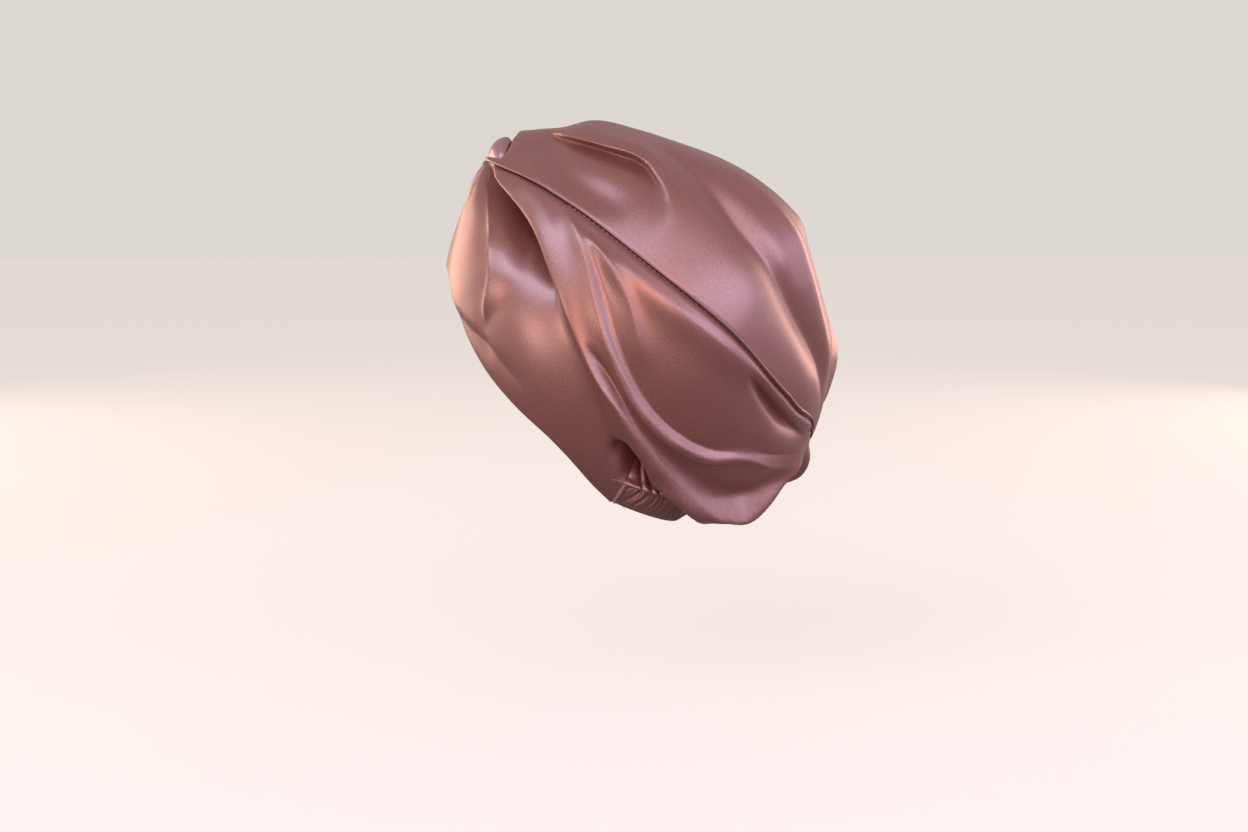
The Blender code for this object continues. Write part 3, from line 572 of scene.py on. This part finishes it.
def under_crown(from_seam, along):
    """Depth of a side panel under the crown's edge, easing to none a little below the seam."""
    risen = np.clip((from_seam - SEAM_FLAT) / SEAM_RISE, 0, 1) ** SEAM_POWER
    return SEAM_DEPTH * (1 - risen) * np.clip((along - DEPTH_START) / DEPTH_EASE, 0, 1)


def sewn_to_casing(points, along, share, side):
    """The same points of a side panel, with its edge drawn in to the casing's top, kept clear of
    the casing, and ruffled above it in the casing's puckers."""
    turn = CASING_REACH * (1 - np.clip((along - EAR_SEAM) / (NAPE_CENTRE - EAR_SEAM), 0, 1))
    down_casing = CASING_LAP + (1 - CASING_LAP) * np.clip(1 - (along - EAR_SEAM) / EAR_TURN, 0, 1)
    join = casing_point(turn, down_casing) + from_neck(turn) * JOIN_ROOM
    join[..., 0] *= side
    at_nape = np.clip((along - EAR_SEAM + EAR_EASE) / EAR_EASE, 0, 1) ** 2 * (along <= NAPE_CENTRE)
    near_edge = np.clip((share - (1 - JOIN_SHARE)) / JOIN_SHARE, 0, 1) ** 2
    weight = (near_edge * at_nape)[..., None]
    points = clear_of_casing(points * (1 - weight) + join * weight)
    gathered = np.clip((share - (1 - GATHER_SHARE)) / GATHER_SHARE, 0, 1) ** 1.5
    gathered = gathered * np.clip((along - EAR_SEAM) / EAR_TURN, 0, 1) * (along <= NAPE_CENTRE)
    phase = pucker_phase(side * turn, GATHER_SLANT * (1 - share))
    pucker = GATHER_RISE * (np.abs(np.sin(phase)) ** GATHER_POWER - GATHER_MIDDLE)
    away = from_neck(turn) * (pucker * gathered)[..., None]
    away[..., 0] *= side
    return points + away


def side_cloth(rows, across, side):
    """Outer face of a side panel, from under the crown's edge (-1) and its seam (0) to its lower
    edge (1): the seam's angle, plus a share of the turn to the edge, plus the folds' lift."""
    along, share = np.meshgrid(rows, across, indexing="ij")
    seam = seam_line(along)
    girth = np.maximum(form_radius(along, seam) * np.sin(np.radians(along)), LEAST_GIRTH)
    lap = np.minimum(np.degrees(SEAM_LAP / girth), LAP_TURN)
    shift = FRONT_LAP * side * np.clip((FRONT_CENTRE - along) / FRONT_LAP_EASE, 0, 1)
    shift = shift * np.clip((along - PANEL_START) / FRONT_LAP_EASE, 0, 1)
    closed = (along <= FRONT_CENTRE) | (along >= NAPE_CENTRE)
    lapped = CENTRE_LAP * closed * (side < 0)
    edge = lower_edge(along) + np.degrees((shift + lapped) / girth)
    flow = curve_through(along, *np.array(EDGE_FLOW, float).T)
    down = np.maximum(share, 0)
    around = np.where(
        share < 0, seam - lap, seam + down * (flow - seam) + down ** EDGE_HUG * (edge - flow))
    from_seam = np.radians(around - seam) * girth
    to_edge = np.radians(edge - around) * girth
    lift = fold_lift(along, side * around)
    lift = lift + slack(along, side * around) * np.clip(from_seam / SLACK_EASE, 0, 1)
    under_left = np.clip(2 - to_edge / np.maximum(lapped, LEAST_LAP), 0, 1)
    lift = lift - under_crown(from_seam, along) - WALL * closed * under_left
    lean = lip_lean(along, side * around, SIDE_LEANS) * np.clip(from_seam / LEAN_EASE, 0, 1)
    points = on_form(along, side * around + lean, lift)
    return sewn_to_casing(points, along, share, side)


knot_rows, face_rows, nape_rows, back_rows = SIDE_ROWS
rows = np.concatenate((
    np.linspace(PANEL_START, FRONT_CENTRE, knot_rows + 1)[:-1],
    FRONT_CENTRE + (EAR_SEAM - FRONT_CENTRE) * np.linspace(0, 1, face_rows + 1) ** 1.25,
    np.linspace(EAR_SEAM + 0.25, NAPE_CENTRE, nape_rows + 1)[:-1],
    np.linspace(NAPE_CENTRE, PANEL_END, back_rows + 1)))
across = np.concatenate(([-1.0], np.linspace(0, 1, SIDE_COLUMNS)))
for name, node, side in (
        ("left_side_satin", "side_panel_left", 1), ("right_side_satin", "side_panel_right", -1)):
    panel = panel_mesh(name, side_cloth(rows, across, side), rose_satin, flip=side < 0)
    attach(panel, "root")
    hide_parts(node)

# Crown seams. The crown's turned edge is sewn down on the side panels. It stands up in a narrow
# welt that grows toward the back, with the needle's stitches below it and frayed threads where
# the left seam ends at the pinch.
WELT = (
    # along, radius
    (22, 0.2), (40, 0.35), (80, 0.45), (105, 0.8), (150, 0.95), (165, 0.85), (170.5, 0.3),
)
WELT_STEPS, WELT_SIDES = 420, 12
WELT_SHARE = 1.35        # of the crown's half breadth, out on its turned edge
STITCHES, STITCH_ALONG = 66, (46.0, 167.0)
STITCH_LONG, STITCH_RADIUS, STITCH_DROP = 1.5, 0.2, 1.9
STITCH_SLANT = 0.25      # drop from a stitch's middle to its end
STITCH_BOW = (-0.15, 0.15, 0.25, 0.15, -0.15)  # a stitch's height over the cloth, end to end
STITCH_SIDES, FRAY_SIDES, FRAY_STEPS = 6, 5, 9
FRAYED, FRAY_ALONG, FRAY_RADIUS = 11, (161.0, 170.5), 0.13
FRAY_LEAN, FRAY_LENGTH, FRAY_CURL = (-2.0, 1.5), (2.0, 5.5), (-1.0, 1.0)
FRAY_WAVE = 0.4          # sideways and down, at full curl
FRAY_SEED = 7
# The welt is the crown's own rose satin, darkened to brown: painted shade along the seam under the
# crown's edge.
WELT_SHADED_LIGHT = (0.30, 0.115, 0.085, 1.0)
WELT_SHADED_DEEP = (0.17, 0.058, 0.048, 1.0)
STITCH_LIGHT = (0.50, 0.30, 0.34, 1.0)
STITCH_DEEP = (0.36, 0.20, 0.24, 1.0)


def tube_mesh(name, rings, material):
    """Tubes of rings of points (tube, step, side), closed by a face at each end, made one mesh.
    Along and round their threads is the first tube's mean distance from step to step, summed."""
    rings = rings.reshape(-1, *rings.shape[-3:])
    tubes, steps, sides = rings.shape[:3]
    n, i, j = np.meshgrid(np.arange(tubes), np.arange(steps - 1), np.arange(sides), indexing="ij")
    ends_i = np.stack((i, i + 1, i + 1, i), -1)
    ends_j = np.stack((j, j, j + 1, j + 1), -1)
    quads = (n[..., None] * steps + ends_i) * sides + ends_j % sides
    round_end = np.arange(sides)
    first = np.arange(tubes)[:, None] * steps * sides + round_end
    last = first[:, ::-1] + (steps - 1) * sides
    u = np.concatenate(([0], np.cumsum(np.linalg.norm(np.diff(rings[0], axis=0), axis=-1).mean(1))))
    v = np.arange(sides + 1) * np.linalg.norm(np.diff(rings[0], axis=1), axis=-1).mean()
    thread_map = np.concatenate((
        np.stack((u[ends_i], v[ends_j]), -1).reshape(-1, 2),
        np.stack(np.broadcast_arrays(u[0], v[round_end]), -1).repeat(tubes, 0),
        np.stack(np.broadcast_arrays(u[-1], v[round_end]), -1).repeat(tubes, 0)))
    corners = np.concatenate((quads.ravel(), first.ravel(), last.ravel()))
    starts = np.concatenate((
        np.arange(0, quads.size, 4), quads.size + np.arange(2 * tubes) * sides))
    piece = cloth_mesh(name, rings, corners, starts, thread_map, material)
    smooth = np.arange(len(starts)) < quads.size // 4
    piece.data.polygons.foreach_set("use_smooth", smooth)
    return piece


def round_thread(paths, radius, sides):
    """Rings round paths (thread, step): circles square to each path, turned from the centre."""
    tangent = np.gradient(paths, axis=-2)
    tangent /= np.linalg.norm(tangent, axis=-1, keepdims=True)
    across = np.cross(tangent, paths - np.array(CENTRE))
    across /= np.linalg.norm(across, axis=-1, keepdims=True)
    out = np.cross(across, tangent)
    turn = np.linspace(0, 2 * math.pi, sides, endpoint=False)[:, None]
    radius = np.asarray(radius, float)[..., None, None]
    return paths[..., None, :] + radius * (
        np.cos(turn) * across[..., None, :] + np.sin(turn) * out[..., None, :])


def below_seam(along, drop, side, raised):
    """Point over a side panel, a drop in millimetres below the crown's seam."""
    seam = seam_line(along)
    around = seam + np.degrees(drop / (form_radius(along, seam) * np.sin(np.radians(along))))
    lift = fold_lift(along, side * around) - under_crown(drop, along) + raised
    lean = lip_lean(along, side * around, SIDE_LEANS) * np.clip(drop / LEAN_EASE, 0, 1)
    return on_form(along, side * around + lean, lift)


# Welt satin: the rose darkened to brown as painted shade of the seam.
welt_painted_shade_satin = satin(
    "welt_painted_shade_satin", WELT_SHADED_LIGHT, WELT_SHADED_DEEP, roughness=0.5, float_strength=0.4, grain_strength=0.8)
stitch_thread = satin(
    "stitch_thread", STITCH_LIGHT, STITCH_DEEP, roughness=0.5, float_strength=0.4,
    grain_strength=0.5)
rows = np.linspace(WELT[0][0], WELT[-1][0], WELT_STEPS)
radius = curve_through(rows, *np.array(WELT, float).T)
middle = np.linspace(*STITCH_ALONG, STITCHES)
girth = form_radius(middle, seam_line(middle))
end_to_end = np.linspace(-1, 1, len(STITCH_BOW))
needle_line = (middle + np.degrees(STITCH_LONG / 2 / girth) * end_to_end[:, None]).T
needle_drop = STITCH_DROP + STITCH_SLANT * end_to_end
seam_pieces = []
for name, side in (("left", 1), ("right", -1)):
    edge = crown_cloth(rows, np.array((side * WELT_SHARE,)))[:, 0]
    welt = tube_mesh(name + "_seam_welt", round_thread(edge, radius, WELT_SIDES), welt_painted_shade_satin)
    paths = below_seam(needle_line, needle_drop, side, np.array(STITCH_BOW))
    rings = round_thread(paths, STITCH_RADIUS, STITCH_SIDES)
    seam_pieces += [welt, tube_mesh(name + "_seam_stitches", rings, stitch_thread)]
rng = np.random.default_rng(FRAY_SEED)
t = np.linspace(0, 1, FRAY_STEPS)
least, most = zip(FRAY_ALONG, FRAY_LEAN, FRAY_LENGTH, FRAY_CURL)
start, lean, length, curl = rng.uniform(least, most, (FRAYED, 4)).T[..., None]
along = start + lean * t + FRAY_WAVE * curl * np.sin(4 * t)
drop = 1.0 + length * t + FRAY_WAVE * curl * np.sin(5 * t)
paths = below_seam(along, drop, 1, 0.3 + (1.0 + 0.8 * curl) * t)
fray = tube_mesh("seam_fray", round_thread(paths, FRAY_RADIUS, FRAY_SIDES), stitch_thread)
seam_pieces.append(fray)
for piece in seam_pieces:
    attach(piece, "root")

# Nape casing. A closed tube of the same satin, ruched tight from ear to ear behind the neck, so
# its cloth stands in narrow slanting puckers. The elastic inside doesn't show and isn't built.
CASING_THICK = 2.4
CASING_CLOTH = 0.3       # least distance between its outside and its inside
RUCHE_RISE = 3.6
RUCHE_POWER = 0.65       # of a sine's size: below 1 it makes round puckers and sharp creases
SMALL_RISE, SMALL_WAVES, SMALL_POWER = 0.22, 2.6, 0.7  # of the puckers between
INSIDE_BULGE = 0.3
EDGE_PARTING = 6         # its inside and outside part over a sixth of its height at each edge
CASING_ROWS, CASING_COLUMNS = 760, 44
CASING_LIGHT = (0.37, 0.135, 0.115, 1.0)
CASING_DEEP = (0.21, 0.070, 0.062, 1.0)
ZIGZAGS, ZIGZAG_WIDE, THREAD_RADIUS, THREAD_SIDES = 13, 0.9, 0.1, 6
ZIGZAG_TURN, ZIGZAG_RISE = 88.5, 3.0
LOOSE_ENDS = (
    # turn, share down and rise along each: one at the top of the ear's seam, one at its foot
    ((88, 0.02, 3.0), (91, -0.02, 3.6), (94, -0.01, 4.2), (97, 0.06, 4.4)),
    ((89, 0.97, 3.0), (86, 0.93, 3.6), (83, 0.95, 3.9), (80, 1.03, 3.6)),
)
OVERLOCK_LIGHT = (0.72, 0.52, 0.46, 1.0)
OVERLOCK_DEEP = (0.5, 0.34, 0.3, 1.0)


def ruched_casing(turns, shares):
    """Tube, shares 0 to 1 down its outside and 1 to 2 up its inside. A pucker is a power of a
    sine's size, with smaller ones between, and stands highest midway down."""
    turn, share = np.meshgrid(turns, shares, indexing="ij")
    down = np.where(share <= 1, share, 2 - share)
    reach = np.radians(turn + CASING_REACH)
    phase = pucker_phase(turn, down) + 0.5 * np.sin(3.0 * down + 7 * reach)
    between = SMALL_RISE * np.abs(np.sin(SMALL_WAVES * phase + 2 * down)) ** SMALL_POWER
    pucker = np.abs(np.sin(phase)) ** RUCHE_POWER + between - 0.9
    height = 0.75 + 0.25 * np.sin(13.1 * reach + 0.6) + 0.2 * np.sin(31 * reach)
    bulge = np.sin(math.pi * down) ** 0.5
    outside = RUCHE_RISE * (1.15 * pucker * height * (0.5 + 0.5 * bulge) + 0.9 * bulge - 0.9)
    deepest = CASING_THICK - CASING_CLOTH
    outside = np.where(outside < 0, deepest * np.tanh(outside / deepest), outside)
    inside = -CASING_THICK - INSIDE_BULGE * bulge * (1 + 0.4 * pucker)
    parted = np.clip(np.minimum(down, 1 - down) * EDGE_PARTING, 0, 1)
    depth = np.where(share <= 1, outside, outside * (1 - parted) + inside * parted)
    return casing_point(turn, down) + from_neck(turn) * depth[..., None]


casing_satin = satin(
    "ruched_casing_satin", CASING_LIGHT, CASING_DEEP, roughness=0.6, float_strength=0.6,
    grain_strength=1.0)
turns = np.linspace(-CASING_REACH, CASING_REACH, CASING_ROWS)
shares = np.linspace(0, 2, CASING_COLUMNS, endpoint=False)
casing = tube_mesh("nape_casing_satin", ruched_casing(turns, shares), casing_satin)
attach(casing, "root")
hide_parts("nape_elastic_casing")
overlock = satin(
    "overlock_thread", OVERLOCK_LIGHT, OVERLOCK_DEEP, roughness=0.6, float_strength=0.4,
    grain_strength=0.5)
t = np.linspace(0, 1, ZIGZAGS * 10)
sway = ZIGZAG_WIDE * np.degrees(np.arcsin(np.sin(2 * math.pi * ZIGZAGS * t))) / 90
turn = ZIGZAG_TURN + np.degrees(sway / CASING_TOP["depth"])
zigzag = casing_point(turn, 0.02 + 0.96 * t) + from_neck(turn) * ZIGZAG_RISE
turn, down, rise = np.moveaxis(np.array(LOOSE_ENDS), -1, 0)
loose = casing_point(turn, down) + from_neck(turn) * rise[..., None]
for name, side in (("left", 1), ("right", -1)):
    for part, paths in (("zigzag", zigzag[None]), ("ends", loose)):
        rings = round_thread(paths * np.array((side, 1, 1)), THREAD_RADIUS, THREAD_SIDES)
        thread = tube_mesh(name + "_ear_" + part, rings, overlock)
        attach(thread, "root")

# Twist loops. A folded band of satin is pulled over the gathered knot, and a second one shows
# below it at the front; both are rolled, creased lengthwise and tucked in at their ends.
LOOP_HALF, LOOP_WIDE, LOOP_THICK, LOOP_ARCH = 17.0, 16.0, 9.0, 7.0
LOOP_PLACE = (-50.8, -14.4)
LOOP_STEPS, LOOP_SIDES = 64, 72
UNDER_ALONG, UNDER_AROUND = (-1.5, 15.0), -173.0
UNDER_WIDE, UNDER_RISE, UNDER_THICK = 15.0, -2.8, 5.0
UNDER_STEPS, UNDER_SIDES = 40, 40
BAND_TIP = 0.05          # blunts the ends of both bands
CREASES, CREASE_DEPTH, CREASE_TWIST = 3, 0.05, 1.2
# The loop's colours are the rose satin tinted toward mauve-lavender: the rose is its own, the
# lavender is painted cool sheen.
LOOP_SHEEN_LIGHT = (0.46, 0.23, 0.26, 1.0)
LOOP_SHEEN_DEEP = (0.38, 0.18, 0.20, 1.0)
# The lower band's colours are the rose satin brightened to peach: painted warm light on it.
UNDER_WARM_LIT_LIGHT = (0.50, 0.27, 0.20, 1.0)
UNDER_WARM_LIT_DEEP = (0.34, 0.16, 0.12, 1.0)


def rolled_band(path, wide, thick, sides):
    """Ellipse carried along a path, with lengthwise creases: a cosine of the turn whose phase
    twists slowly from end to end."""
    tangent = np.gradient(path, axis=0)
    tangent /= np.linalg.norm(tangent, axis=1, keepdims=True)
    out = path - np.array(CENTRE)
    out -= tangent * (out * tangent).sum(1, keepdims=True)
    out /= np.linalg.norm(out, axis=1, keepdims=True)
    across = np.cross(tangent, out)
    turn = np.linspace(0, 2 * math.pi, sides, endpoint=False)[None]
    t = np.linspace(-1, 1, len(path))[:, None]
    crease = 1 - CREASE_DEPTH * (0.5 - 0.5 * np.cos(CREASES * turn + CREASE_TWIST * t)) ** 3
    return (path[:, None]
            + (np.cos(turn) * crease * wide[:, None])[..., None] * across[:, None]
            + (np.sin(turn) * crease * thick[:, None])[..., None] * out[:, None])


def blunt_taper(steps):
    """Share of full thickness from end to end: a half ellipse with blunt tips."""
    t = np.linspace(-1, 1, steps)
    return t, np.sqrt(np.clip(1 + BAND_TIP - t * t, 0, 1))


# Loop satin: the rose with a painted lavender sheen in its colour.
loop_sheen_satin = satin(
    "twist_loop_satin", LOOP_SHEEN_LIGHT, LOOP_SHEEN_DEEP, roughness=0.38, float_strength=0.3,
    grain_strength=0.4)
t, taper = blunt_taper(LOOP_STEPS)
path = np.stack((LOOP_HALF * t, LOOP_PLACE[0] + 0 * t, LOOP_PLACE[1] - LOOP_ARCH * t * t), -1)
rings = rolled_band(path, LOOP_WIDE / 2 * taper, LOOP_THICK / 2 * taper, LOOP_SIDES)
loop = tube_mesh("twist_loop_satin", rings, loop_sheen_satin)
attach(loop, "root")
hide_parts("twist_loop")
t, taper = blunt_taper(UNDER_STEPS)
along = np.linspace(*UNDER_ALONG, UNDER_STEPS)
path = on_form(along, np.full_like(along, UNDER_AROUND), np.full_like(along, UNDER_RISE))
rings = rolled_band(path, UNDER_WIDE / 2 * taper, UNDER_THICK / 2 * taper, UNDER_SIDES)
# Lower band satin: a peach copy of the rose as painted warm light.
under_warm_lit_satin = satin(
    "twist_under_satin", UNDER_WARM_LIT_LIGHT, UNDER_WARM_LIT_DEEP, roughness=0.45, float_strength=0.3,
    grain_strength=0.4)
under = tube_mesh("twist_under_satin", rings, under_warm_lit_satin)
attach(under, "root")
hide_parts("twist_loop_under")

# Studio. A plain pale floor, cool soft lights over and beside the camera, warm ones low in front,
# toward the face and behind, and the camera at the photograph's angle.
FLOOR_DROP, FLOOR_HALF = 0.32, 6
FLOOR_COLOUR = (0.42, 0.405, 0.38, 1.0)
BACKDROP = (0.72, 0.69, 0.64, 1.0)  # the air that the camera sees, and the floor's own light
AIR_COLOUR = (1.0, 0.78, 0.80, 1.0)
AIR_DIMMED = {"From Min": -0.7, "From Max": 0.1, "To Min": 0.18, "To Max": 0.39}  # by height
CAMERA_TARGET = Vector((0.0, 0.0160, -0.1599))
CAMERA_AWAY, CAMERA_TURN, CAMERA_PITCH = 0.9557, -3.0, 7.6
CAMERA_LENS, CAMERA_FILM = 50, 36
LIGHT_TARGET, LIGHT_AWAY = Vector((0.0, 0.03, -0.1)), 1.65
LIGHTS = (
    # name, level and turn of its direction, size, power, colour
    ("cool_left", 38, -45, 0.8, 8.8, (0.70, 0.76, 1.0)),
    ("cool_window", 39, -8, 0.8, 6, (0.74, 0.74, 1.0)),
    ("soft_window", 37, 27, 0.8, 2.0, (0.95, 0.76, 0.84)),
    ("high_side", 38, 60, 0.8, 0.8, (0.95, 0.72, 0.75)),
    ("low_window", 9, 58, 0.8, 7, (0.78, 0.72, 1.0)),
    ("low_cool", 8, 28, 0.8, 5, (0.70, 0.68, 1.0)),
    ("low_side", 8, 95, 0.8, 2.4, (0.80, 0.74, 1.0)),
    ("warm_strip", 3, -3, 0.8, 11, (1.0, 0.56, 0.38)),
    ("warm_low", -3, -50, 0.26, 4.5, (1.0, 0.70, 0.58)),
    ("warm_side", 8, -97, 0.8, 4, (1.0, 0.76, 0.60)),
    ("warm_behind", 8, -130, 0.8, 8, (1.0, 0.66, 0.48)),
    ("warm_far_side", 8, 130, 0.8, 7.5, (1.0, 0.62, 0.52)),
)


def direction(level, turn):
    """Unit vector: level is degrees above the floor, turn from the wearer's left (0) toward the
    back (90)."""
    level, turn = math.radians(level), math.radians(turn)
    return Vector((
        math.cos(level) * math.cos(turn), math.cos(level) * math.sin(turn), math.sin(level)))


floor_mesh = bpy.data.meshes.new("floor")
corners = [(x * FLOOR_HALF, y * FLOOR_HALF) for x, y in ((-1, -1), (1, -1), (1, 1), (-1, 1))]
floor_mesh.from_pydata([(x, y, -FLOOR_DROP) for x, y in corners], [], [(0, 1, 2, 3)])
floor = bpy.data.objects.new("floor", floor_mesh)
bpy.context.scene.collection.objects.link(floor)
pale = bpy.data.materials.new("pale_floor")
pale.use_nodes = True
shader = pale.node_tree.nodes["Principled BSDF"]
shader.inputs["Base Color"].default_value = FLOOR_COLOUR
shader.inputs["Roughness"].default_value = 0.8
shader.inputs["Emission Color"].default_value = BACKDROP
shader.inputs["Emission Strength"].default_value = 0.8
floor_mesh.materials.append(pale)
floor.visible_diffuse = False
floor.visible_glossy = False

for name, level, turn, size, power, colour in LIGHTS:
    out = direction(level, turn)
    lamp = bpy.data.lights.new(name, "AREA")
    lamp.size = size
    lamp.energy = power
    lamp.color = colour
    holder = bpy.data.objects.new(name, lamp)
    holder.location = LIGHT_TARGET + out * LIGHT_AWAY
    holder.rotation_euler = out.to_track_quat("Z", "Y").to_euler()
    holder.visible_diffuse = name != "warm_strip"  # which is a gleam in the satin only
    bpy.context.scene.collection.objects.link(holder)

world = bpy.data.worlds.new("studio_air")
bpy.context.scene.world = world
world.use_nodes = True
nodes = world.node_tree.nodes
air = nodes["Background"]
air.inputs["Color"].default_value = AIR_COLOUR
sky = shader_node(nodes, "TexCoord", {})
above_floor = shader_node(nodes, "SeparateXYZ", {})
dimmed = shader_node(nodes, "MapRange", AIR_DIMMED)
wall = shader_node(nodes, "Background", {"Color": BACKDROP, "Strength": 1.0})
seen = shader_node(nodes, "LightPath", {})
either = shader_node(nodes, "MixShader", {})
link_nodes(world.node_tree.links, (
    (sky, "Generated", above_floor, "Vector"), (above_floor, "Z", dimmed, "Value"),
    (dimmed, "Result", air, "Strength"), (seen, "Is Camera Ray", either, "Fac"),
    (air, "Background", either, 1), (wall, "Background", either, 2),
    (either, "Shader", nodes["World Output"], "Surface")))
bpy.context.scene.view_settings.view_transform = "Standard"

back = direction(CAMERA_PITCH, CAMERA_TURN)
right = (-back).cross(Vector((0, 0, 1))).normalized()
up = right.cross(-back)
spot = CAMERA_TARGET + back * CAMERA_AWAY
lens = bpy.data.cameras.new("camera")
lens.lens = CAMERA_LENS
lens.sensor_width = CAMERA_FILM
lens.clip_start = 0.01
camera = bpy.data.objects.new("camera", lens)
camera.matrix_world = Matrix((
    (right.x, up.x, back.x, spot.x), (right.y, up.y, back.y, spot.y),
    (right.z, up.z, back.z, spot.z), (0, 0, 0, 1)))
bpy.context.scene.collection.objects.link(camera)
bpy.context.scene.camera = camera
